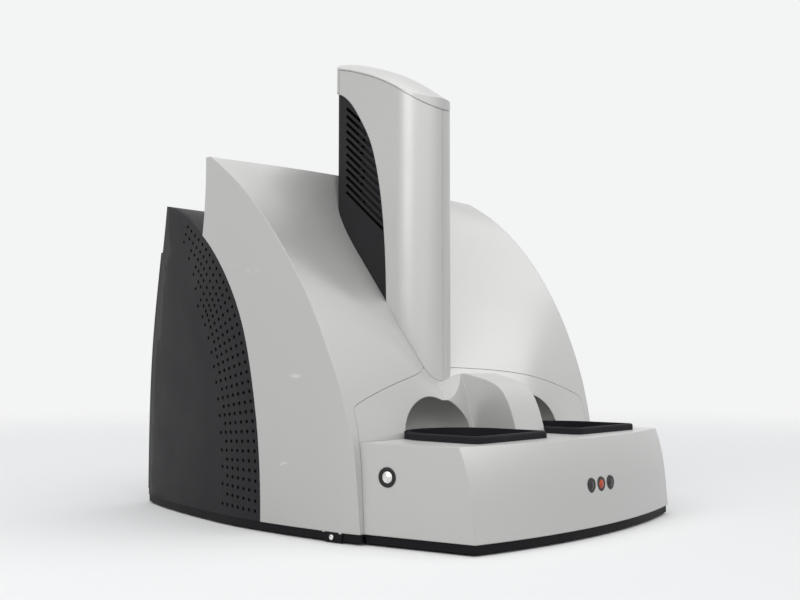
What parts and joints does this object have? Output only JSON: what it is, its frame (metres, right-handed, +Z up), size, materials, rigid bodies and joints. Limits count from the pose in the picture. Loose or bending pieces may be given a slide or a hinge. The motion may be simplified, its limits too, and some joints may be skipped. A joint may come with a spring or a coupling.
{
  "type": "microplate reader",
  "caption": "Bench-top microplate reader with arched nested covers, an upright camera tower with louvres, and a front deck with stack wells, push buttons and an inner plate stage.",
  "frame": {"origin": "middle of the footprint on the bench, under the feet", "axes": "+Z up, front of the instrument towards -Y, +X to its right when seen from the front"},
  "size_m": [0.5516, 0.6699, 0.6512],
  "materials": {
    "silver_paint": "satin metallic paint",
    "dark_plastic": "fine textured dark grey",
    "rim_plastic": "black satin",
    "base_black": "black powder coat",
    "foot_rubber": "knurled rubber",
    "bright_steel": "bright",
    "bezel_black": "gloss black",
    "button_dark": "dark lens",
    "button_red": "red lens",
    "machined": "machined",
    "anodised_black": "black anodised",
    "filter_glass": "optical filter",
    "fan_plastic": "moulded",
    "board_green": "circuit board"
  },
  "bodies": {
    "base": {"base_plate": "base_black", "feet": "foot_rubber", "foot_brackets": "base_black", "bracket_bolts": "bright_steel", "front_cover": "silver_paint", "lower_cover": "silver_paint", "rear_housing": "dark_plastic", "rear_panel": "dark_plastic", "deck_cover": "silver_paint", "stack_rim_left": "rim_plastic", "stack_rim_right": "rim_plastic", "well_liner_left": "rim_plastic", "well_liner_right": "rim_plastic", "tower_shell_left": "silver_paint", "tower_shell_right": "silver_paint", "tower_cap": "silver_paint", "louvre_panel_left": "dark_plastic", "louvre_panel_right": "dark_plastic", "power_bezel": "bezel_black", "front_bezels": "bezel_black", "optics_plate": "machined", "optics_posts": "machined", "lens_tube": "anodised_black", "camera_body": "anodised_black", "filter_motor": "base_black", "x_rails": "bright_steel", "x_bearings": "machined", "x_motor": "base_black", "fan_frame": "fan_plastic", "mains_inlet": "fan_plastic", "data_ports": "fan_plastic", "power_supply": "machined", "control_board": "board_green"},
    "power_button": {"power_button": "bright_steel"},
    "load_button": {"load_button": "button_dark"},
    "stop_button": {"stop_button": "button_red"},
    "start_button": {"start_button": "button_dark"},
    "filter_wheel": {"filter_wheel": "anodised_black", "filter_discs": "filter_glass"},
    "x_screw": {"x_screw": "bright_steel"},
    "x_carriage": {"x_carriage": "machined", "y_motor": "base_black"},
    "y_screw": {"y_screw": "bright_steel"},
    "y_carriage": {"y_carriage": "machined"},
    "plate_tray": {"plate_tray": "machined"},
    "fan_rotor": {"fan_rotor": "fan_plastic"}
  },
  "joints": [
    {"name": "power_press", "type": "slide", "parent": "base", "child": "power_button", "axis": [0.9834, 0.1813, 0], "range_m": [0, 0.0015], "stiffness_N_per_m": 400, "springref_m": -0.0008},
    {"name": "load_press", "type": "slide", "parent": "base", "child": "load_button", "axis": [0, 1, 0], "range_m": [0, 0.0015], "stiffness_N_per_m": 400, "springref_m": -0.0008},
    {"name": "stop_press", "type": "slide", "parent": "base", "child": "stop_button", "axis": [0, 1, 0], "range_m": [0, 0.0015], "stiffness_N_per_m": 400, "springref_m": -0.0008},
    {"name": "start_press", "type": "slide", "parent": "base", "child": "start_button", "axis": [0, 1, 0], "range_m": [0, 0.0015], "stiffness_N_per_m": 400, "springref_m": -0.0008},
    {"name": "x_travel", "type": "slide", "parent": "base", "child": "x_carriage", "axis": [1, 0, 0], "range_m": [-0.105, 0.105]},
    {"name": "x_screw_turn", "type": "hinge", "parent": "base", "child": "x_screw", "pos_m": [0, -0.08, 0.019], "axis": [1, 0, 0], "range_deg": [-3780, 3780]},
    {"name": "y_travel", "type": "slide", "parent": "x_carriage", "child": "y_carriage", "axis": [0, 1, 0], "range_m": [0, 0.229]},
    {"name": "y_screw_turn", "type": "hinge", "parent": "x_carriage", "child": "y_screw", "pos_m": [0, 0, 0.044], "axis": [0, 1, 0], "range_deg": [0, 8244]},
    {"name": "tray_lift", "type": "slide", "parent": "y_carriage", "child": "plate_tray", "axis": [0, 0, 1], "range_m": [0, 0.024]},
    {"name": "filter_turn", "type": "hinge", "parent": "base", "child": "filter_wheel", "pos_m": [0, 0.054, 0.162], "axis": [0, 0, 1], "continuous": true},
    {"name": "fan_spin", "type": "hinge", "parent": "base", "child": "fan_rotor", "pos_m": [0, 0.262, 0.0526], "axis": [0, 1, 0], "continuous": true}
  ],
  "couplings": [
    {"joint": "x_screw_turn", "follows": "x_travel", "rad_per_m": 628.32},
    {"joint": "y_screw_turn", "follows": "y_travel", "rad_per_m": 628.32}
  ]
}
